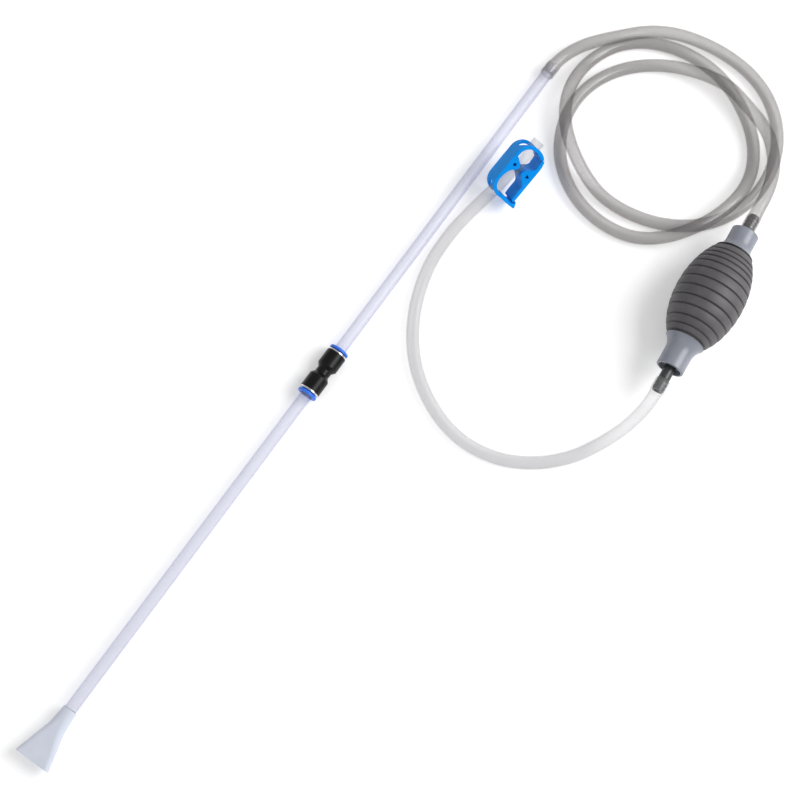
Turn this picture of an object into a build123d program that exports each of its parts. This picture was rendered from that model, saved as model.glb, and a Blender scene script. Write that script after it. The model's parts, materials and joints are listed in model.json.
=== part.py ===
from build123d import *
import math
import os

os.makedirs("parts", exist_ok=True)

# Gravel vacuum siphon, laid out on a flat surface. Millimetres.
# X runs along the rigid suction rod, from the nozzle to the hose, and Z is up.
# The origin is under the middle of the rigid parts, on the surface they lie on.

# ---------------------------------------------------------------- rod and nozzle
tube_od = 12.0
tube_id = 10.0
tube_length = 392.0
union_radius = 10.2
rod_y = 137.7
rod_z = union_radius
union_x = 22.0
stop_half = 1.5

nozzle_socket_depth = 10.5
nozzle_neck_length = 18.5
nozzle_fan_length = 36.0
nozzle_neck_od = 13.6
nozzle_root = (16.6, 12.6)
nozzle_mouth = (36.0, 9.0)
nozzle_wall = 1.3
fit_gap = 0.03

# ---------------------------------------------------------------- push-in union
union_half = 21.8
union_waist_radius = 7.3
union_waist_half = 2.6
union_shoulder = 6.4
union_chamber_radius = 8.2
union_socket_radius = 6.1
seal_span = (8.6, 11.2)
seal_bore_radius = 6.3
claw_span = (11.4, 12.75)
collar_flange_radius = 10.0
collar_flange_width = 1.5
collar_bore_radius = 7.4
collar_inner_end = 14.6
collet_inner_end = 14.2
collet_sleeve_radius = 7.33
collet_bore_radius = 6.08
collet_gap = 1.3
collet_flange_width = 2.5
collet_flange_radius = 9.9

# ---------------------------------------------------------------- hoses
hose_od = 13.0
hose_id = 10.0
hose_radius = hose_od / 2
cuff_radius = 7.3
cuff_bore_radius = 6.05
cuff_length = 12.0
inlet_cuff_length = 19.4
outlet_bare_stem = 12.5
coil_outer = (415.5, 0.0, 119.0)
coil_inner = (406.0, -7.0, 78.0)
coil_height = 26.8
coil_edge = 7.0
suction_hose_start = union_x + stop_half + tube_length - cuff_length
suction_lead_route = [
    (suction_hose_start, rod_y, rod_z),
    (suction_hose_start + 12.0, rod_y, rod_z),
    (431.5, 134.3, 11.3),
    (447.2, 126.4, 14.0),
    (461.5, 115.0, 16.5),
    (473.8, 101.5, 17.5),
]
suction_tail_route = [(412.0, -111.0, 31.0), (436.5, -104.0, 26.5), (458.0, -91.0, 22.8), (474.0, -73.0, 21.5)]
suction_tail_straight = 25.0
outlet_route = [
    (156.0, -130.5, 30.5),
    (136.0, -125.5, 23.0),
    (113.0, -115.0, 13.0),
    (88.0, -100.0, 7.5),
    (62.0, -73.0, hose_radius),
    (45.0, -38.0, hose_radius),
    (42.5, 3.0, hose_radius),
    (58.0, 44.0, hose_radius),
    (84.0, 78.0, hose_radius),
    (122.0, 103.8, hose_radius),
    (168.0, 119.0, hose_radius),
    (209.0, 120.5, hose_radius),
    (231.2, 117.3, 9.2),
]
outlet_straight = 17.5
clamp_approach = 17.0

# ---------------------------------------------------------------- squeeze bulb
bulb_x = 286.6
bulb_y = -122.0
bulb_z = 33.5
bulb_yaw = 4.85
bulb_radius = 33.1
bulb_half_length = 60.5
land_crown = 0.04
groove_half = 1.1
groove_depth = 1.7
grooves = (-49.2, -43.1, -35.6, -26.0, -16.7, -6.4, 3.9, 14.1, 22.6, 29.2, 35.2, 41.0)
bulb_visible = (-50.9, 48.5)
bulb_inner_radius = 30.2
bulb_inner_half = 58.0
neck_radius = 10.95
neck_bore_radius = 8.0
neck_end = 16.8
inlet_rim = 75.3
outlet_rim = -82.0
ring_span = (48.6, 51.2)
ring_radii = (17.0, 19.2)

# ---------------------------------------------------------------- end caps, from the rim inwards
cap_radius = 13.5
cap_chamfer = 0.6
recess_radius = 11.3
recess_depth = 5.0
end_wall = 7.0
stem_hole_radius = 5.8
chamber_radius = 9.3
chamber_end = 14.8
neck_pocket_radius = 11.05
gasket_width = 1.0
flange_radius = 9.2
flange_width = 2.0
barb_radius = 5.6
barb_ridge_radius = 6.0
barb_root_radius = 5.2
barb_bore_radius = 3.5
barb_pitch = 4.0
inlet_barb_length = 19.3
outlet_barb_length = 24.5
disc_radius = 7.6
disc_width = 1.4
disc_gap = 0.3
seat_hole_radius = 4.0
plate_radius = 10.9
plate_width = 2.0

# ---------------------------------------------------------------- pinch clamp
clamp_x = 290.6
clamp_y = 101.5
clamp_z = 31.4
clamp_yaw = -8.4
clamp_pitch = 24.0
clamp_roll = 38.9
strip_width = 22.0
strip_thick = 3.5
clamp_half_length = 29.3
clamp_half_height = 15.0
bend_radius = 14.0
hose_slot_width = 17.6
hose_slot = (-8.5, 14.0)
hose_slot_start = 17.5
arm_pivot = (21.9, -13.1)
latch_pivot = (-27.55, -1.95)
hinge_radius = 1.65

# Middle of the outlet hose as it passes through the clamp: along, up and across the clamp.
hose_entry = (-29.5, 3.3, -2.0)
hose_pinch = (3.2, -0.2, 0.0)
hose_exit = (35.5, 0.8, 2.5)
pinched_outer = (17.6, 4.4)
hose_wall = (hose_od - hose_id) / 2

rod_axis = Axis((0, rod_y, rod_z), (1, 0, 0))


def rod_section(x, outward=1):
    """Plane square to the rod at x, facing outward along it."""
    return Plane(origin=(x, rod_y, rod_z), x_dir=(0, 1, 0), z_dir=(outward, 0, 0))


def rod_profile(outward):
    """Plane through the rod's axis: local x runs outward from the union's centre, local y is up."""
    return Plane(origin=(union_x, rod_y, rod_z), x_dir=(outward, 0, 0), z_dir=(0, -outward, 0))


# ================================================================= rigid rod
lower_tube_start = union_x - stop_half - tube_length
with BuildPart() as lower_tube:
    with BuildSketch(rod_section(lower_tube_start)):
        Circle(tube_od / 2)
        Circle(tube_id / 2, mode=Mode.SUBTRACT)
    extrude(amount=tube_length)
lower_tube.part.label = "lower_tube"
export_step(lower_tube.part, "parts/lower_tube.step")

with BuildPart() as upper_tube:
    with BuildSketch(rod_section(union_x + stop_half)):
        Circle(tube_od / 2)
        Circle(tube_id / 2, mode=Mode.SUBTRACT)
    extrude(amount=tube_length)
upper_tube.part.label = "upper_tube"
export_step(upper_tube.part, "parts/upper_tube.step")

# Flat fan nozzle: a round socket that widens into a flat mouth.
nozzle_lip = lower_tube_start + nozzle_socket_depth
nozzle_root_x = nozzle_lip - nozzle_neck_length
nozzle_mouth_x = nozzle_root_x - nozzle_fan_length
mouth_overcut = 0.5
with BuildPart() as flat_nozzle:
    with BuildSketch(rod_section(nozzle_lip)):
        RectangleRounded(nozzle_neck_od, nozzle_neck_od, nozzle_neck_od / 2 - 0.05)
    with BuildSketch(rod_section(nozzle_root_x)):
        RectangleRounded(*nozzle_root, 6.0)
    with BuildSketch(rod_section(nozzle_mouth_x)):
        RectangleRounded(*nozzle_mouth, 4.0)
    loft(ruled=True)
    with BuildSketch(rod_section(nozzle_lip - nozzle_socket_depth)):
        RectangleRounded(tube_id, tube_id, tube_id / 2 - 0.05)
    with BuildSketch(rod_section(nozzle_root_x)):
        RectangleRounded(nozzle_root[0] - 2 * nozzle_wall, nozzle_root[1] - 2 * nozzle_wall, 4.8)
    with BuildSketch(rod_section(nozzle_mouth_x - mouth_overcut)):
        RectangleRounded(nozzle_mouth[0] - 2 * nozzle_wall, nozzle_mouth[1] - 2 * nozzle_wall, 2.8)
    loft(ruled=True, mode=Mode.SUBTRACT)
    with BuildSketch(rod_section(nozzle_lip)):
        Circle(tube_od / 2 + fit_gap)
    extrude(amount=-nozzle_socket_depth - fit_gap, mode=Mode.SUBTRACT)
flat_nozzle.part.label = "flat_nozzle"
export_step(flat_nozzle.part, "parts/flat_nozzle.step")

# ================================================================= push-in union
with BuildPart() as union_body:
    for outward in (-1, 1):
        with BuildSketch(rod_profile(outward)):
            with BuildLine():
                Line((0, tube_id / 2), (0, union_waist_radius))
                Line((0, union_waist_radius), (union_waist_half, union_waist_radius))
                ThreePointArc(
                    (union_waist_half, union_waist_radius),
                    (union_waist_half + 2.3, union_radius - 1.1),
                    (union_shoulder, union_radius),
                )
                Polyline(
                    (union_shoulder, union_radius),
                    (union_half - 0.4, union_radius),
                    (union_half, union_radius - 0.4),
                    (union_half, union_chamber_radius),
                    (seal_span[0] - 0.1, union_chamber_radius),
                    (seal_span[0] - 0.1, union_socket_radius),
                    (stop_half, union_socket_radius),
                    (stop_half, tube_id / 2),
                    (0, tube_id / 2),
                )
            make_face()
        revolve(axis=rod_axis)
union_body.part.label = "union_body"
export_step(union_body.part, "parts/union_body.step")

claw_slit = (1.5, 0.5)
claw_slits = 12
collet_slit = (2.4, 0.8)
collet_slits = 6
collet_slit_length = 6.0
for side, outward in (("lower", -1), ("upper", 1)):
    profile = rod_profile(outward)

    # Bright collar ring, pressed into the end of the body.
    ring_end = union_half + collar_flange_width
    with BuildPart() as collar_ring:
        with BuildSketch(profile):
            Polygon(
                (collar_inner_end, collar_bore_radius),
                (ring_end, collar_bore_radius),
                (ring_end, collar_flange_radius - 0.3),
                (ring_end - 0.3, collar_flange_radius),
                (union_half, collar_flange_radius),
                (union_half, union_chamber_radius - fit_gap),
                (collar_inner_end, union_chamber_radius - fit_gap),
                align=None,
            )
        revolve(axis=rod_axis)
    collar_ring.part.label = f"{side}_collar_ring"
    export_step(collar_ring.part, f"parts/{side}_collar_ring.step")

    # Release collet: a slit sleeve round the tube with a push flange outside.
    flange_start = ring_end + collet_gap
    flange_end = flange_start + collet_flange_width
    with BuildPart() as release_collet:
        with BuildSketch(profile):
            Polygon(
                (collet_inner_end, collet_bore_radius),
                (flange_end, collet_bore_radius),
                (flange_end, collet_flange_radius - 0.7),
                (flange_end - 0.7, collet_flange_radius),
                (flange_start + 0.3, collet_flange_radius),
                (flange_start, collet_flange_radius - 0.3),
                (flange_start, collet_sleeve_radius),
                (collet_inner_end + 0.8, collet_sleeve_radius),
                (collet_inner_end, collet_sleeve_radius - 0.6),
                align=None,
            )
        revolve(axis=rod_axis)
        with BuildSketch(rod_section(union_x + outward * (collet_inner_end - 0.5), outward)):
            with PolarLocations((collet_bore_radius + collet_sleeve_radius) / 2, collet_slits):
                Rectangle(*collet_slit)
        extrude(amount=collet_slit_length, mode=Mode.SUBTRACT)
    release_collet.part.label = f"{side}_release_collet"
    export_step(release_collet.part, f"parts/{side}_release_collet.step")

    # Toothed steel ring that grips the tube.
    with BuildPart() as grip_claw:
        with BuildSketch(profile):
            Polygon(
                (claw_span[0], union_chamber_radius - fit_gap),
                (claw_span[0] + 0.6, union_chamber_radius - fit_gap),
                (claw_span[1], 6.25),
                (claw_span[1] - 0.5, 6.15),
                align=None,
            )
        revolve(axis=rod_axis)
        with BuildSketch(rod_section(union_x + outward * (claw_span[0] - 0.5), outward)):
            with PolarLocations(6.8, claw_slits):
                Rectangle(*claw_slit)
        extrude(amount=2.4, mode=Mode.SUBTRACT)
    grip_claw.part.label = f"{side}_grip_claw"
    export_step(grip_claw.part, f"parts/{side}_grip_claw.step")

    # Rubber ring that seals against the tube.
    with BuildPart() as tube_seal:
        with BuildSketch(profile):
            Polygon(
                (seal_span[0], union_chamber_radius - fit_gap),
                (seal_span[1], union_chamber_radius - fit_gap),
                (seal_span[1], 6.6),
                (seal_span[1] - 0.5, seal_bore_radius),
                (seal_span[0] + 0.5, seal_bore_radius),
                (seal_span[0], 6.6),
                align=None,
            )
        revolve(axis=rod_axis)
    tube_seal.part.label = f"{side}_tube_seal"
    export_step(tube_seal.part, f"parts/{side}_tube_seal.step")

# ================================================================= squeeze bulb
bulb_dir = Vector(math.cos(math.radians(bulb_yaw)), math.sin(math.radians(bulb_yaw)), 0)
bulb_centre = Vector(bulb_x, bulb_y, bulb_z)
bulb_axis = Axis(tuple(bulb_centre), tuple(bulb_dir))


def along_bulb(distance):
    """Point on the bulb's axis, measured from its centre towards the inlet."""
    return bulb_centre + bulb_dir * distance


def bulb_profile(rim, inward):
    """Plane through the bulb's axis: local x runs from rim in the given direction, local y is up."""
    direction = bulb_dir * inward
    return Plane(origin=along_bulb(rim), x_dir=direction, z_dir=(direction.Y, -direction.X, 0))


def bulb_section(rim, inward, depth):
    """Plane square to the bulb's axis, at a depth in from a rim, facing further in."""
    return Plane(origin=along_bulb(rim + inward * depth), x_dir=(0, 0, 1), z_dir=bulb_dir * inward)


def spindle(x, radius=bulb_radius, half_length=bulb_half_length):
    """Radius of the spindle at x from its middle."""
    return radius * math.sqrt(1 - (x / half_length) ** 2)


land_starts = [bulb_visible[0]] + [x + groove_half for x in grooves]
land_ends = [x - groove_half for x in grooves] + [bulb_visible[1]]
inlet_neck_tip = inlet_rim - neck_end
outlet_neck_tip = outlet_rim + neck_end
inner_ends = (-55.5, 51.0)
inner_stations = [inner_ends[0] + (inner_ends[1] - inner_ends[0]) * k / 8 for k in range(9)]
inner_wall = [(x, spindle(x, bulb_inner_radius, bulb_inner_half)) for x in inner_stations]
with BuildPart() as bulb:
    with BuildSketch(bulb_profile(0, 1)):
        with BuildLine():
            Polyline(
                (outlet_neck_tip, neck_bore_radius),
                (outlet_neck_tip, neck_radius),
                (outlet_rim + 26.2, neck_radius),
                (outlet_rim + 30.9, 17.0),
                (bulb_visible[0], spindle(bulb_visible[0])),
            )
            for start, end in zip(land_starts, land_ends):
                middle = (start + end) / 2
                ThreePointArc(
                    (start, spindle(start)),
                    (middle, spindle(middle) + land_crown * (end - start)),
                    (end, spindle(end)),
                )
            for x in grooves:
                Polyline(
                    (x - groove_half, spindle(x - groove_half)),
                    (x, spindle(x) - groove_depth),
                    (x + groove_half, spindle(x + groove_half)),
                )
            Polyline(
                (bulb_visible[1], spindle(bulb_visible[1])),
                (bulb_visible[1], ring_radii[0] - fit_gap),
                (inlet_rim - 24.1, ring_radii[0] - fit_gap),
                (inlet_rim - 21.2, neck_radius),
                (inlet_neck_tip, neck_radius),
                (inlet_neck_tip, neck_bore_radius),
                (inlet_rim - 20.5, neck_bore_radius),
                inner_wall[-1],
            )
            Spline(*inner_wall)
            Polyline(inner_wall[0], (outlet_rim + 24.5, neck_bore_radius), (outlet_neck_tip, neck_bore_radius))
        make_face()
    revolve(axis=bulb_axis)
bulb.part.label = "bulb"
export_step(bulb.part, "parts/bulb.step")

# Black sealing ring that shows between the bulb and the inlet cap.
with BuildPart() as inlet_ring:
    with BuildSketch(bulb_profile(0, 1)):
        Polygon(
            (ring_span[0], ring_radii[0]),
            (ring_span[1], ring_radii[0]),
            (ring_span[1], ring_radii[1] - 0.8),
            (ring_span[1] - 0.6, ring_radii[1]),
            (ring_span[0], ring_radii[1]),
            align=None,
        )
    revolve(axis=bulb_axis)
inlet_ring.part.label = "inlet_ring"
export_step(inlet_ring.part, "parts/inlet_ring.step")

# Each end: rim position, direction inwards, skirt end, skirt radius, skirt wall, where the flare starts.
ends = {
    "inlet": (inlet_rim, -1, 24.0, 18.2, 1.1, 14.5, inlet_barb_length),
    "outlet": (outlet_rim, 1, 31.0, 19.3, 1.3, 17.0, outlet_barb_length),
}
barb_ridges = 3
for name, (rim, inward, skirt_end, skirt_radius, skirt_wall, flare_start, barb_length) in ends.items():
    profile = bulb_profile(rim, inward)

    flare_middle = flare_start + 0.58 * (skirt_end - flare_start)
    flare_sag = cap_radius + 0.3 * (skirt_radius - cap_radius)
    pocket_end = skirt_end - (5.0 if name == "outlet" else 3.0)
    with BuildPart() as cap:
        with BuildSketch(profile):
            with BuildLine():
                Polyline(
                    (0, recess_radius),
                    (0, cap_radius - cap_chamfer),
                    (cap_chamfer, cap_radius),
                    (flare_start, cap_radius),
                )
                ThreePointArc((flare_start, cap_radius), (flare_middle, flare_sag), (skirt_end, skirt_radius))
                Polyline(
                    (skirt_end, skirt_radius),
                    (skirt_end, skirt_radius - skirt_wall),
                    (pocket_end, neck_pocket_radius),
                    (chamber_end, neck_pocket_radius),
                    (chamber_end, chamber_radius),
                    (end_wall, chamber_radius),
                    (end_wall, stem_hole_radius),
                    (recess_depth, stem_hole_radius),
                    (recess_depth, recess_radius),
                    (0, recess_radius),
                )
            make_face()
        revolve(axis=bulb_axis)
    cap.part.label = f"{name}_cap"
    export_step(cap.part, f"parts/{name}_cap.step")

    with BuildPart() as gasket:
        with BuildSketch(bulb_section(rim, inward, end_wall)):
            Circle(flange_radius - 0.2)
            Circle(stem_hole_radius + 0.05, mode=Mode.SUBTRACT)
        extrude(amount=gasket_width)
    gasket.part.label = f"{name}_gasket"
    export_step(gasket.part, f"parts/{name}_gasket.step")

    # Hose barb: a flange held inside the cap, and a ridged stem that stands out of it.
    flange_face = end_wall + gasket_width + flange_width
    ridge_start = -barb_length + barb_ridges * barb_pitch
    ridge_points = []
    for k in range(barb_ridges):
        ridge_points.append((ridge_start - barb_pitch * k, barb_ridge_radius))
        ridge_points.append((ridge_start - barb_pitch * (k + 1), barb_root_radius))
    with BuildPart() as barb:
        with BuildSketch(profile):
            Polygon(
                (flange_face, barb_bore_radius),
                (flange_face, flange_radius),
                (flange_face - flange_width, flange_radius),
                (flange_face - flange_width, barb_radius),
                (ridge_start + 0.8, barb_radius),
                *ridge_points,
                (-barb_length, barb_bore_radius),
                align=None,
            )
        revolve(axis=bulb_axis)
        if name == "outlet":
            with BuildSketch(bulb_section(rim, inward, flange_face)):
                with PolarLocations(5.4, 3):
                    Circle(0.9)
            extrude(amount=1.2)
    barb.part.label = f"{name}_barb"
    export_step(barb.part, f"parts/{name}_barb.step")

    # Rubber valve disc, closed: on the barb's flange at the inlet, on the seat plate at the outlet.
    disc_face = flange_face + disc_gap if name == "inlet" else chamber_end - disc_width - disc_gap
    with BuildPart() as valve_disc:
        with BuildSketch(bulb_section(rim, inward, disc_face)):
            Circle(disc_radius)
        extrude(amount=disc_width)
        chamfer(valve_disc.edges(), 0.25)
    valve_disc.part.label = f"{name}_valve_disc"
    export_step(valve_disc.part, f"parts/{name}_valve_disc.step")

# Keeper plate: water passes round its centre peg, which stops the inlet disc.
with BuildPart() as inlet_keeper:
    with BuildSketch(bulb_section(inlet_rim, -1, chamber_end)):
        Circle(plate_radius)
        with PolarLocations(5.6, 4):
            Circle(2.1, mode=Mode.SUBTRACT)
    extrude(amount=plate_width)
    with BuildSketch(bulb_section(inlet_rim, -1, chamber_end)):
        Circle(1.5)
    extrude(amount=-1.2)
inlet_keeper.part.label = "inlet_keeper"
export_step(inlet_keeper.part, "parts/inlet_keeper.step")

with BuildPart() as outlet_seat:
    with BuildSketch(bulb_section(outlet_rim, 1, chamber_end)):
        Circle(plate_radius)
        Circle(seat_hole_radius, mode=Mode.SUBTRACT)
    extrude(amount=plate_width)
outlet_seat.part.label = "outlet_seat"
export_step(outlet_seat.part, "parts/outlet_seat.step")

# ================================================================= pinch clamp
yaw, pitch = math.radians(clamp_yaw), math.radians(clamp_pitch)
clamp_dir = Vector(math.cos(pitch) * math.cos(yaw), math.cos(pitch) * math.sin(yaw), math.sin(pitch))
clamp_side = Vector(-math.sin(yaw), math.cos(yaw), 0)
clamp_tilt = (Vector(0, 0, 1) - clamp_dir * clamp_dir.Z).normalized()
roll = math.radians(clamp_roll)
clamp_face = clamp_tilt * math.cos(roll) - clamp_side * math.sin(roll)
clamp_plane = Plane(origin=(clamp_x, clamp_y, clamp_z), x_dir=clamp_dir, z_dir=clamp_face)
clamp_back = clamp_plane.offset(-strip_width / 2)
inner_height = clamp_half_height - strip_thick
inner_length = clamp_half_length - strip_thick
bend_x = clamp_half_length - bend_radius
bend_y = clamp_half_height - bend_radius
bend_inner = bend_radius - strip_thick
diagonal = math.sqrt(0.5)


def in_clamp(along, up, across):
    """Point in the clamp's own directions."""
    return (
        clamp_plane.origin
        + clamp_plane.x_dir * along
        + clamp_plane.y_dir * up
        + clamp_plane.z_dir * across
    )


def cut_hose_slots():
    """Long round-ended hole through both bends, for the hose."""
    low, high = hose_slot
    for direction in (-1, 1):
        origin = in_clamp(direction * hose_slot_start, (low + high) / 2, 0)
        facing = clamp_plane.x_dir * direction
        with BuildSketch(Plane(origin=origin, x_dir=clamp_plane.y_dir, z_dir=facing)) as slot:
            SlotOverall(high - low, hose_slot_width)
        extrude(slot.sketch, amount=20.0, mode=Mode.SUBTRACT)


# Frame: the upper arm with its pinching nub, and the two bends that the hose passes through.
frame_edge = latch_pivot[1] + hinge_radius + 0.3
with BuildPart() as clamp_frame:
    with BuildSketch(clamp_back):
        with BuildLine():
            Line((-bend_x, clamp_half_height), (bend_x, clamp_half_height))
            ThreePointArc(
                (bend_x, clamp_half_height),
                (bend_x + bend_radius * diagonal, bend_y + bend_radius * diagonal),
                (clamp_half_length, bend_y),
            )
            ThreePointArc((clamp_half_length, bend_y), (28.6, -6.0), (24.6, -12.8))
            Line((24.6, -12.8), (22.1, -10.3))
            ThreePointArc((22.1, -10.3), (25.2, -5.0), (inner_length, bend_y))
            ThreePointArc(
                (inner_length, bend_y),
                (bend_x + bend_inner * diagonal, bend_y + bend_inner * diagonal),
                (bend_x, inner_height),
            )
            Line((bend_x, inner_height), (12.2, inner_height))
            Spline(
                (12.2, inner_height),
                (9.8, 7.4),
                (7.6, 4.2),
                (4.4, 2.8),
                (1.2, 4.0),
                (-1.6, 7.6),
                (-7.0, 10.4),
                (-14.0, inner_height),
                tangents=((-0.4, -1), (-1, 0)),
            )
            Line((-14.0, inner_height), (-bend_x, inner_height))
            ThreePointArc(
                (-bend_x, inner_height),
                (-bend_x - bend_inner * diagonal, bend_y + bend_inner * diagonal),
                (-inner_length, bend_y),
            )
            Polyline(
                (-inner_length, bend_y),
                (-inner_length, frame_edge),
                (-clamp_half_length, frame_edge),
                (-clamp_half_length, bend_y),
            )
            ThreePointArc(
                (-clamp_half_length, bend_y),
                (-bend_x - bend_radius * diagonal, bend_y + bend_radius * diagonal),
                (-bend_x, clamp_half_height),
            )
        make_face()
        with Locations((4.2, 8.6)):
            Circle(1.7, mode=Mode.SUBTRACT)
    extrude(amount=strip_width)
    cut_hose_slots()
clamp_frame.part.label = "clamp_frame"
export_step(clamp_frame.part, "parts/clamp_frame.step")

# Latch lever: continues the bend past the free end of the lower arm and catches it with a tooth.
with BuildPart() as clamp_latch:
    with BuildSketch(clamp_back):
        Polygon(
            (-29.2, latch_pivot[1]),
            (-25.9, latch_pivot[1]),
            (-26.0, -9.0),
            (-27.1, -14.0),
            (-26.4, -16.6),
            (-23.4, -17.1),
            (-23.9, -18.4),
            (-28.9, -20.4),
            (-29.9, -19.6),
            (-29.9, -12.0),
            align=None,
        )
        with Locations(latch_pivot):
            Circle(hinge_radius)
    extrude(amount=strip_width)
    cut_hose_slots()
clamp_latch.part.label = "clamp_latch"
export_step(clamp_latch.part, "parts/clamp_latch.step")

# Lower arm: hinged at the other bend, with the second pinching nub.
with BuildPart() as clamp_arm:
    with BuildSketch(clamp_back):
        with BuildLine():
            Polyline((21.9, -14.7), (18.0, -15.7), (14.0, -16.0), (-20.0, -16.0), (-24.5, -15.9), (-24.9, -14.6))
            Polyline((-24.9, -14.6), (-24.3, -12.9), (-20.0, -12.5), (-9.0, -12.5))
            Spline(
                (-9.0, -12.5),
                (-4.8, -9.4),
                (-1.4, -4.8),
                (2.0, -2.8),
                (5.6, -4.8),
                (9.2, -9.2),
                (13.5, -12.3),
                tangents=((1, 0.3), (1, -0.2)),
            )
            Polyline((13.5, -12.3), (21.4, -11.6), (21.9, -14.7))
        make_face()
        with Locations(arm_pivot):
            Circle(hinge_radius)
        with Locations((2.0, -9.9)):
            RegularPolygon(2.6, 3, rotation=30, mode=Mode.SUBTRACT)
    extrude(amount=strip_width)
clamp_arm.part.label = "clamp_arm"
export_step(clamp_arm.part, "parts/clamp_arm.step")

# ================================================================= hoses


def tangent_radii(points):
    """Fillet radii that use 0.45 of the shorter run at each corner."""
    radii = []
    for before, corner, after in zip(points, points[1:], points[2:]):
        first = Vector(*corner) - Vector(*before)
        second = Vector(*after) - Vector(*corner)
        turn = math.radians(first.get_angle(second))
        radii.append(0.45 * min(first.length, second.length) / math.tan(turn / 2))
    return radii


def build_hose(points, cuff):
    """Hose along the points, with its first end stretched over a stem for the cuff length."""
    radii = tangent_radii(points)
    with BuildPart() as hose:
        with BuildLine() as route:
            FilletPolyline(*points, radius=radii)
        start = Plane(origin=route.line @ 0, z_dir=route.line % 0)
        with BuildSketch(start):
            Circle(hose_radius)
            Circle(hose_id / 2, mode=Mode.SUBTRACT)
        sweep(path=route.line)
        with BuildSketch(start):
            Circle(cuff_radius)
            Circle(hose_id / 2, mode=Mode.SUBTRACT)
        extrude(amount=cuff)
        with BuildSketch(start):
            Circle(cuff_bore_radius)
        extrude(amount=cuff, mode=Mode.SUBTRACT)
    length = sum(edge.length for edge in route.edges())
    print("radii", [round(radius, 1) for radius in radii], "length", round(length, 1))
    return hose.part


suction_hose_lead = build_hose(suction_lead_route, cuff_length)
suction_hose_lead.label = "suction_hose_lead"
export_step(suction_hose_lead, "parts/suction_hose_lead.step")

inlet_stem = [tuple(along_bulb(inlet_rim + 0.1)), tuple(along_bulb(inlet_rim + suction_tail_straight))]
suction_hose_tail = build_hose(inlet_stem + suction_tail_route, inlet_cuff_length)
suction_hose_tail.label = "suction_hose_tail"
export_step(suction_hose_tail, "parts/suction_hose_tail.step")

# Outer shape of the loose coil.
with BuildPart() as suction_hose_coil:
    with BuildSketch():
        with Locations(coil_outer[:2]):
            Circle(coil_outer[2])
    extrude(amount=coil_height)
    chamfer(suction_hose_coil.edges().group_by(Axis.Z)[-1], coil_edge)
    with BuildSketch():
        with Locations(coil_inner[:2]):
            Circle(coil_inner[2])
    extrude(amount=coil_height, mode=Mode.SUBTRACT)
suction_hose_coil.part.label = "suction_hose_coil"
export_step(suction_hose_coil.part, "parts/suction_hose_coil.step")

entry_point = in_clamp(*hose_entry)
entry_dir = (in_clamp(*hose_pinch) - entry_point).normalized()
outlet_stem = [along_bulb(outlet_rim - outlet_bare_stem), along_bulb(outlet_rim - outlet_bare_stem - outlet_straight)]
outlet_end = [entry_point - entry_dir * clamp_approach, entry_point]
outlet_points = [tuple(p) for p in outlet_stem] + outlet_route + [tuple(p) for p in outlet_end]
print("outlet route", [tuple(round(c, 2) for c in p) for p in outlet_points])
print("clamp axes", clamp_plane.x_dir, clamp_plane.y_dir, clamp_plane.z_dir)
print("pivots", in_clamp(*arm_pivot, 0), in_clamp(*latch_pivot, 0))
lowest = min(piece.bounding_box().min.Z for piece in (clamp_frame.part, clamp_latch.part, clamp_arm.part))
print("lowest point of the clamp", round(lowest, 3))
outlet_hose = build_hose(outlet_points, cuff_length)
outlet_hose.label = "outlet_hose"
export_step(outlet_hose, "parts/outlet_hose.step")


def loft_through_clamp(outer):
    """Loft the hose's outer or inner skin from the clamp's entry to the hose's cut end."""
    round_size = hose_od if outer else hose_id
    shrink = 0.0 if outer else 2 * hose_wall
    flat = (pinched_outer[0] - shrink, pinched_outer[1] - shrink)
    stations = [(-22.0, 0.0), (-14.0, 0.2), (1.6, 1.0), (4.8, 1.0), (19.0, 0.2), (27.0, 0.0)]
    sections = [(entry_point, entry_dir, 0.0)]
    for along, flatness in stations:
        limit = hose_entry if along < hose_pinch[0] else hose_exit
        share = (along - hose_pinch[0]) / (limit[0] - hose_pinch[0])
        up = hose_pinch[1] + share * (limit[1] - hose_pinch[1])
        across = hose_pinch[2] + share * (limit[2] - hose_pinch[2])
        sections.append((in_clamp(along, up, across), clamp_plane.x_dir, flatness))
    sections.append((in_clamp(*hose_exit), clamp_plane.x_dir, 0.0))
    outlines = []
    for origin, direction, flatness in sections:
        width = round_size + flatness * (flat[0] - round_size)
        height = round_size + flatness * (flat[1] - round_size)
        with BuildSketch(Plane(origin=origin, x_dir=clamp_plane.z_dir, z_dir=direction)) as outline:
            RectangleRounded(width, height, min(width, height) / 2 - 0.05)
        outlines.append(outline.sketch)
    loft(outlines, ruled=True, mode=Mode.ADD if outer else Mode.SUBTRACT)


# End of the outlet hose, squeezed shut between the clamp's nubs.
with BuildPart() as outlet_hose_end:
    loft_through_clamp(True)
    loft_through_clamp(False)
outlet_hose_end.part.label = "outlet_hose_end"
export_step(outlet_hose_end.part, "parts/outlet_hose_end.step")
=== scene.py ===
import json
import math

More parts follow.
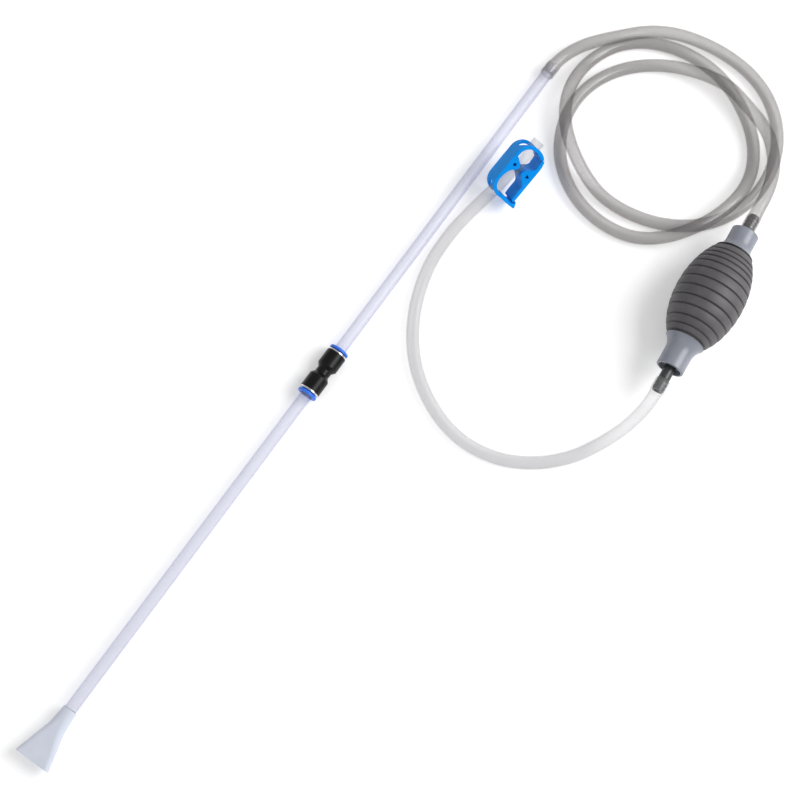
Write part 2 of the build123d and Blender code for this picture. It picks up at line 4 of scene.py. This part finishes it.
import bpy
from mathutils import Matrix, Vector


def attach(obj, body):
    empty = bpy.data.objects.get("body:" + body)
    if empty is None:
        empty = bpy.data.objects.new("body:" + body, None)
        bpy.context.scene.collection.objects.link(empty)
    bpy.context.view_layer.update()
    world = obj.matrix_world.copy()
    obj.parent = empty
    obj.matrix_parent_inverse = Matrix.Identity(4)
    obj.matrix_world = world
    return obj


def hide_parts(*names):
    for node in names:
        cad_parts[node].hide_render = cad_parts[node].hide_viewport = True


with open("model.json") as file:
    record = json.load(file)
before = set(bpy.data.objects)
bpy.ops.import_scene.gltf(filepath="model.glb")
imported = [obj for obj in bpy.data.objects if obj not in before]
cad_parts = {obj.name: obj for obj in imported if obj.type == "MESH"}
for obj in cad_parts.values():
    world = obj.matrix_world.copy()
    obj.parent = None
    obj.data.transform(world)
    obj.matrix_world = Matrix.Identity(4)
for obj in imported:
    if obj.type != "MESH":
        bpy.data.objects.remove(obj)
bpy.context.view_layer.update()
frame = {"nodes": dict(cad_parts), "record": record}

# A gravel vacuum siphon laid out on a white table. Metres, +X along the rigid wand, +Z up.
MM = 0.001
TABLE_TOP = 0.0
HOSE_RADIUS = 6.5 * MM
HOSE_BORE = 5.0 * MM
CUFF_RADIUS = 7.3 * MM
CUFF_BORE = 6.1 * MM
CUFF_TAPER = 4 * MM
WAND_CUFF = 0.012
INLET_CUFF = 0.0193
OUTLET_CUFF = 0.012
CLOSEST_POINTS = 0.0004
BULB_YAW = math.radians(4.85)
BULB_CENTRE = Vector((0.2866, -0.122, 0.0335))
BULB_DIR = Vector((math.cos(BULB_YAW), math.sin(BULB_YAW), 0))


# ------------------------------------------------------------------ camera
CAMERA_AT = (-0.2829, -0.1656, 1.3938)
CAMERA_LOOKS_AT = (0.0441, 0.0643, 0.0)
CAMERA_LENS = 68.85


def add_camera():
    data = bpy.data.cameras.new("camera")
    data.lens = CAMERA_LENS
    data.sensor_width = 36
    camera = bpy.data.objects.new("camera", data)
    camera.location = CAMERA_AT
    aim = Vector(CAMERA_LOOKS_AT) - Vector(CAMERA_AT)
    camera.rotation_euler = aim.to_track_quat("-Z", "Y").to_euler()
    bpy.context.scene.collection.objects.link(camera)
    bpy.context.scene.camera = camera


add_camera()


# ------------------------------------------------------------------ materials
def new_material(name):
    """An empty node material: returns it with its node tree, principled shader and object coordinates."""
    material = bpy.data.materials.new(name)
    material.use_nodes = True
    tree = material.node_tree
    shader = tree.nodes["Principled BSDF"]
    place = tree.nodes.new("ShaderNodeTexCoord")
    return material, tree, shader, place.outputs["Object"]


def add_noise(tree, vector, scale, detail=3.0, stretch=(1, 1, 1)):
    mapping = tree.nodes.new("ShaderNodeMapping")
    mapping.inputs["Scale"].default_value = stretch
    tree.links.new(vector, mapping.inputs["Vector"])
    noise = tree.nodes.new("ShaderNodeTexNoise")
    noise.inputs["Scale"].default_value = scale
    noise.inputs["Detail"].default_value = detail
    tree.links.new(mapping.outputs["Vector"], noise.inputs["Vector"])
    return noise.outputs["Fac"]


def add_ramp(tree, value, low, high, start=0.3, end=0.7):
    """Blend between two colours as value goes from start to end."""
    ramp = tree.nodes.new("ShaderNodeValToRGB")
    ramp.color_ramp.elements[0].position = start
    ramp.color_ramp.elements[1].position = end
    ramp.color_ramp.elements[0].color = (*low, 1)
    ramp.color_ramp.elements[1].color = (*high, 1)
    tree.links.new(value, ramp.inputs["Fac"])
    return ramp.outputs["Color"]


def add_range(tree, value, low, high):
    span = tree.nodes.new("ShaderNodeMapRange")
    span.inputs["To Min"].default_value = low
    span.inputs["To Max"].default_value = high
    tree.links.new(value, span.inputs["Value"])
    return span.outputs["Result"]


def add_bump(tree, shader, height, strength, distance, edge=0.0):
    """Fine relief, over edges softened by the given radius."""
    bump = tree.nodes.new("ShaderNodeBump")
    bump.inputs["Strength"].default_value = strength
    bump.inputs["Distance"].default_value = distance
    tree.links.new(height, bump.inputs["Height"])
    if edge:
        bevel = tree.nodes.new("ShaderNodeBevel")
        bevel.inputs["Radius"].default_value = edge
        tree.links.new(bevel.outputs["Normal"], bump.inputs["Normal"])
    tree.links.new(bump.outputs["Normal"], shader.inputs["Normal"])


def moulded(name, low, high, roughness, grain=900, relief=0.15, edge=0.0003, spec=0.5, cover=1.0):
    """Moulded plastic or rubber: slight colour drift, fine surface grain, uneven gloss and softened edges."""
    material, tree, shader, place = new_material(name)
    drift = add_noise(tree, place, 60)
    tree.links.new(add_ramp(tree, drift, low, high), shader.inputs["Base Color"])
    fine = add_noise(tree, place, grain, 4)
    tree.links.new(add_range(tree, fine, roughness * 0.8, roughness * 1.25), shader.inputs["Roughness"])
    add_bump(tree, shader, fine, relief, 0.00004, edge)
    shader.inputs["Specular IOR Level"].default_value = spec
    shader.inputs["Alpha"].default_value = cover
    return material


def clear_plastic(
    name, low, high, roughness, cover, absorbed, density, stretch=(1, 1, 1), spec=0.5, ior=1.5
):
    """Clear extruded plastic: each surface hides a little behind it, and the wall absorbs light."""
    material, tree, shader, place = new_material(name)
    drift = add_noise(tree, place, 18)
    tree.links.new(add_ramp(tree, drift, low, high), shader.inputs["Base Color"])
    lines = add_noise(tree, place, 300, 2, stretch)
    tree.links.new(add_range(tree, lines, roughness * 0.8, roughness * 1.2), shader.inputs["Roughness"])
    add_bump(tree, shader, lines, 0.05, 0.00003)
    shader.inputs["Alpha"].default_value = cover
    shader.inputs["Specular IOR Level"].default_value = spec
    shader.inputs["IOR"].default_value = ior
    absorption = tree.nodes.new("ShaderNodeVolumeAbsorption")
    absorption.inputs["Color"].default_value = (*absorbed, 1)
    absorption.inputs["Density"].default_value = density
    tree.links.new(absorption.outputs["Volume"], tree.nodes["Material Output"].inputs["Volume"])
    return material


def plated(name, colour, roughness):
    material, tree, shader, place = new_material(name)
    brushed = add_noise(tree, place, 500, 2, (6, 1, 1))
    dull = tuple(0.8 * c for c in colour)
    tree.links.new(add_ramp(tree, brushed, dull, colour), shader.inputs["Base Color"])
    tree.links.new(add_range(tree, brushed, roughness * 0.7, roughness * 1.4), shader.inputs["Roughness"])
    shader.inputs["Metallic"].default_value = 1.0
    add_bump(tree, shader, brushed, 0.1, 0.00003, 0.0002)
    return material


materials = {
    "clear_tube": clear_plastic(
        "clear_tube", (0.80, 0.81, 0.93), (0.84, 0.85, 0.96), 0.2, 0.12, (0.48, 0.50, 0.68), 150,
        (0.05, 1, 1), 1.0, 1.6,
    ),
    "frosted_plastic": moulded(
        "frosted_plastic", (0.66, 0.70, 0.80), (0.71, 0.75, 0.85), 0.45, 500, 0.1, spec=0.3, cover=0.92
    ),
    "union_black": moulded("union_black", (0.002, 0.002, 0.002), (0.004, 0.004, 0.005), 0.32, spec=0.22),
    "collet_blue": moulded("collet_blue", (0.03, 0.16, 0.74), (0.04, 0.20, 0.84), 0.35, spec=0.3),
    "nickel": plated("nickel", (0.80, 0.79, 0.76), 0.22),
    "claw_steel": plated("claw_steel", (0.60, 0.60, 0.60), 0.35),
    "black_rubber": moulded("black_rubber", (0.006, 0.006, 0.006), (0.010, 0.010, 0.011), 0.5, spec=0.3),
    "bulb_rubber": moulded(
        "bulb_rubber", (0.072, 0.067, 0.071), (0.098, 0.092, 0.097), 0.52, 1200, 0.25, 0.0002
    ),
    "cap_grey": moulded("cap_grey", (0.20, 0.215, 0.25), (0.25, 0.265, 0.31), 0.3, edge=0.0004),
    "barb_grey": moulded("barb_grey", (0.025, 0.030, 0.028), (0.035, 0.040, 0.038), 0.3),
    "hose_smoke": clear_plastic(
        "hose_smoke", (0.36, 0.34, 0.35), (0.42, 0.40, 0.41), 0.22, 0.15, (0.47, 0.44, 0.43), 165,
        spec=1.0, ior=1.8,
    ),
    "hose_clear": clear_plastic(
        "hose_clear", (0.70, 0.70, 0.72), (0.76, 0.76, 0.78), 0.22, 0.08, (0.50, 0.48, 0.50), 105,
        spec=1.0, ior=1.8,
    ),
    "clamp_blue": moulded(
        "clamp_blue", (0.001, 0.24, 0.72), (0.002, 0.28, 0.84), 0.42, edge=0.0005, spec=0.06
    ),
}


def paint(piece, slot):
    piece.data.materials.clear()
    piece.data.materials.append(materials[slot])


# ------------------------------------------------------------------ hoses
def nurbs_points(name, points):
    """Follow one open spline through its control points and return the points along it."""
    curve = bpy.data.curves.new(name, "CURVE")
    curve.dimensions = "3D"
    spline = curve.splines.new("NURBS")
    spline.points.add(len(points) - 1)
    for target, point in zip(spline.points, points):
        target.co = (*point, 1)
    spline.order_u = 3
    spline.use_endpoint_u = True
    spline.resolution_u = 8
    holder = bpy.data.objects.new(name, curve)
    bpy.context.scene.collection.objects.link(holder)
    bpy.context.view_layer.update()
    line = bpy.data.meshes.new_from_object(holder.evaluated_get(bpy.context.evaluated_depsgraph_get()))
    path = [v.co.copy() for v in line.vertices]
    bpy.data.objects.remove(holder)
    bpy.data.meshes.remove(line)
    kept = [path[0]]
    for point in path[1:]:
        if (point - kept[-1]).length > CLOSEST_POINTS:
            kept.append(point)
    return kept


def distances(path):
    travelled = [0.0]
    for before, after in zip(path, path[1:]):
        travelled.append(travelled[-1] + (after - before).length)
    return travelled


def smooth(value):
    value = min(max(value, 0.0), 1.0)
    return value * value * (3 - 2 * value)


def sweep_tube(name, path, section, sides=28):
    """Mesh tube along the path. section(distance, total) gives its outer and bore radii there."""
    travelled = distances(path)
    total = travelled[-1]
    tangents = []
    for k in range(len(path)):
        tangents.append((path[min(k + 1, len(path) - 1)] - path[max(k - 1, 0)]).normalized())
    side = tangents[0].orthogonal().normalized()
    rings = []
    for point, tangent, gone in zip(path, tangents, travelled):
        side = (side - tangent * side.dot(tangent)).normalized()
        rings.append((point, side, tangent.cross(side), section(gone, total)))
    vertices = []
    for skin in (0, 1):
        for point, across, up, radii in rings:
            for k in range(sides):
                angle = 2 * math.pi * k / sides
                vertices.append(point + (across * math.cos(angle) + up * math.sin(angle)) * radii[skin])
    faces = []
    count = len(rings)
    for skin in (0, 1):
        for ring in range(count - 1):
            base = (skin * count + ring) * sides
            for k in range(sides):
                quad = [base + k, base + (k + 1) % sides, base + sides + (k + 1) % sides, base + sides + k]
                faces.append(quad if skin == 0 else quad[::-1])
    for ring in (0, count - 1):
        outer, inner = ring * sides, (count + ring) * sides
        for k in range(sides):
            quad = [outer + k, inner + k, inner + (k + 1) % sides, outer + (k + 1) % sides]
            faces.append(quad if ring == 0 else quad[::-1])
    mesh = bpy.data.meshes.new(name)
    mesh.from_pydata(vertices, [], faces)
    mesh.polygons.foreach_set("use_smooth", [True] * len(mesh.polygons))
    mesh.update()
    piece = bpy.data.objects.new(name, mesh)
    bpy.context.scene.collection.objects.link(piece)
    return piece


def cuffed(start_cuff, end_cuff):
    """Section of a hose that is stretched over stems at its ends."""

    def section(gone, total):
        stretch = 0.0
        if start_cuff:
            stretch = max(stretch, 1 - smooth((gone - start_cuff) / CUFF_TAPER))
        if end_cuff:
            stretch = max(stretch, 1 - smooth((total - gone - end_cuff) / CUFF_TAPER))
        return (
            HOSE_RADIUS + stretch * (CUFF_RADIUS - HOSE_RADIUS),
            HOSE_BORE + stretch * (CUFF_BORE - HOSE_BORE),
        )

    return section


# Suction hose: from the wand's end, three loose turns, and back to the bulb's inlet.
TUBE_END_X = 0.4035
ROD_Y = 0.1377
ROD_Z = 0.0102
suction_lead = [
    (TUBE_END_X, ROD_Y, ROD_Z),
    (0.4155, ROD_Y, ROD_Z),
    (0.4315, 0.1343, 0.0113),
    (0.4472, 0.1264, 0.0140),
    (0.4615, 0.1150, 0.0165),
]
suction_tail = [
    (0.474, -0.073, 0.0215),
    (0.458, -0.091, 0.0228),
    (0.4365, -0.104, 0.0265),
    (0.412, -0.111, 0.031),
]
INLET_RIM = 0.0753
TAIL_STRAIGHT = 0.025
COIL_CENTRE = (0.4176, 0.0)
COIL_START = 60.0
COIL_STEP = 45.0
# Distance of the hose from the coil's middle, and its height, at each eighth of a turn.
COIL_RADII = [
    0.1155, 0.1093, 0.1091, 0.1040, 0.0975, 0.0911, 0.0955, 0.1085,
    0.1125, 0.0920, 0.0798, 0.0855, 0.0960, 0.1129, 0.1133, 0.1020,
    0.0850, 0.0749, 0.0790,
]  # fmt: skip
LYING = 0.0065
CROSSING = 0.0203
COIL_HEIGHTS = [
    (60, 0.0175), (30, 0.014), (5, 0.0075), (-12, LYING), (-195, LYING), (-225, CROSSING), (-255, CROSSING),
    (-285, LYING), (-435, LYING), (-466, CROSSING), (-494, CROSSING), (-525, LYING), (-672, LYING),
    (-708, 0.0115), (-732, 0.0185), (-772, 0.0215),
]  # fmt: skip
POINTS_PER_STEP = 3
SPLINE_SWELL = 1.011


def coil_radius(turned):
    """Radius after turning by that many degrees, eased through the eighth-turn values."""
    place = turned / COIL_STEP
    k = min(int(place), len(COIL_RADII) - 2)
    t = place - k
    before, start, end, after = (COIL_RADII[min(max(k + d, 0), len(COIL_RADII) - 1)] for d in (-1, 0, 1, 2))
    slope_start, slope_end = (end - before) / 2, (after - start) / 2
    swing = (2 * start - 2 * end + slope_start + slope_end) * t**3
    swing += (3 * end - 3 * start - 2 * slope_start - slope_end) * t**2
    return start + slope_start * t + swing


def coil_height(angle):
    for (high, start), (low, end) in zip(COIL_HEIGHTS, COIL_HEIGHTS[1:]):
        if angle >= low:
            return start + (end - start) * smooth((high - angle) / (high - low))
    return COIL_HEIGHTS[-1][1]


coil = []
steps = (len(COIL_RADII) - 1) * POINTS_PER_STEP
for step in range(steps + 1):
    turned = step * COIL_STEP / POINTS_PER_STEP
    angle = COIL_START - turned
    radius = coil_radius(turned) * SPLINE_SWELL
    coil.append(
        (
            COIL_CENTRE[0] + radius * math.cos(math.radians(angle)),
            COIL_CENTRE[1] + radius * math.sin(math.radians(angle)),
            coil_height(angle),
        )
    )
inlet_rim = BULB_CENTRE + BULB_DIR * (INLET_RIM + 0.0001)
inlet_stem = [tuple(inlet_rim + BULB_DIR * TAIL_STRAIGHT), tuple(inlet_rim)]
suction_route = suction_lead + coil + suction_tail + inlet_stem
suction_path = nurbs_points("suction_line", suction_route)
suction_hose = sweep_tube("suction_hose", suction_path, cuffed(WAND_CUFF, INLET_CUFF))
paint(suction_hose, "hose_smoke")
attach(suction_hose, "siphon")
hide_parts("suction_hose_lead", "suction_hose_coil", "suction_hose_tail")

# Outlet hose: from the bulb's outlet barb round to the pinch clamp.
outlet_route = [
    (0.19244, -0.12999, 0.0335),
    (0.1750, -0.13147, 0.0335),
    (0.156, -0.1305, 0.0305),
    (0.136, -0.1255, 0.023),
    (0.113, -0.115, 0.013),
    (0.088, -0.100, 0.0075),
    (0.062, -0.073, 0.0065),
    (0.045, -0.038, 0.0065),
    (0.0425, 0.003, 0.0065),
    (0.058, 0.044, 0.0065),
    (0.084, 0.078, 0.0065),
    (0.122, 0.1038, 0.0065),
    (0.168, 0.119, 0.0065),
    (0.209, 0.1205, 0.0065),
    (0.2312, 0.1173, 0.0092),
    (0.24921, 0.11355, 0.01331),
    (0.26429, 0.10925, 0.01987),
]
outlet_path = nurbs_points("outlet_line", outlet_route)
outlet_hose = sweep_tube("outlet_hose_run", outlet_path, cuffed(OUTLET_CUFF, 0))
paint(outlet_hose, "hose_clear")
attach(outlet_hose, "siphon")
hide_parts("outlet_hose")

# ------------------------------------------------------------------ finishes of the CAD pieces
for subpart in frame["record"]["subparts"]:
    node = frame["nodes"][subpart["node"]]
    if not node.hide_render:
        paint(node, subpart["material_slot"])


# ------------------------------------------------------------------ table and light
TABLE_GLOW = 0.22
TABLE_HALF = 6.0


def add_table():
    mesh = bpy.data.meshes.new("table")
    half = TABLE_HALF
    corners = [(x * half, y * half, TABLE_TOP) for x, y in ((-1, -1), (1, -1), (1, 1), (-1, 1))]
    mesh.from_pydata(corners, [], [(0, 1, 2, 3)])
    table = bpy.data.objects.new("table", mesh)
    bpy.context.scene.collection.objects.link(table)
    material, tree, shader, place = new_material("table_white")
    paper = add_noise(tree, place, 40)
    tree.links.new(add_ramp(tree, paper, (0.93, 0.93, 0.93), (0.95, 0.95, 0.95)), shader.inputs["Base Color"])
    shader.inputs["Roughness"].default_value = 0.9
    shader.inputs["Specular IOR Level"].default_value = 0.1
    shader.inputs["Emission Color"].default_value = (1, 1, 1, 1)
    shader.inputs["Emission Strength"].default_value = TABLE_GLOW
    mesh.materials.append(material)


def add_area_light(name, at, size, power):
    data = bpy.data.lights.new(name, "AREA")
    data.shape = "SQUARE"
    data.size = size
    data.energy = power
    light = bpy.data.objects.new(name, data)
    light.location = at
    light.rotation_euler = (Vector((0.05, 0, 0)) - Vector(at)).to_track_quat("-Z", "Y").to_euler()
    bpy.context.scene.collection.objects.link(light)


def add_world(strength):
    world = bpy.data.worlds.new("studio")
    world.use_nodes = True
    background = world.node_tree.nodes["Background"]
    background.inputs["Color"].default_value = (1, 1, 1, 1)
    background.inputs["Strength"].default_value = strength
    bpy.context.scene.world = world


add_table()
add_world(0.5)
add_area_light("key", (1.1, -1.5, 1.7), 1.6, 50)
add_area_light("fill", (-1.5, 1.2, 2.2), 2.5, 7)
bpy.context.scene.view_settings.view_transform = "Standard"
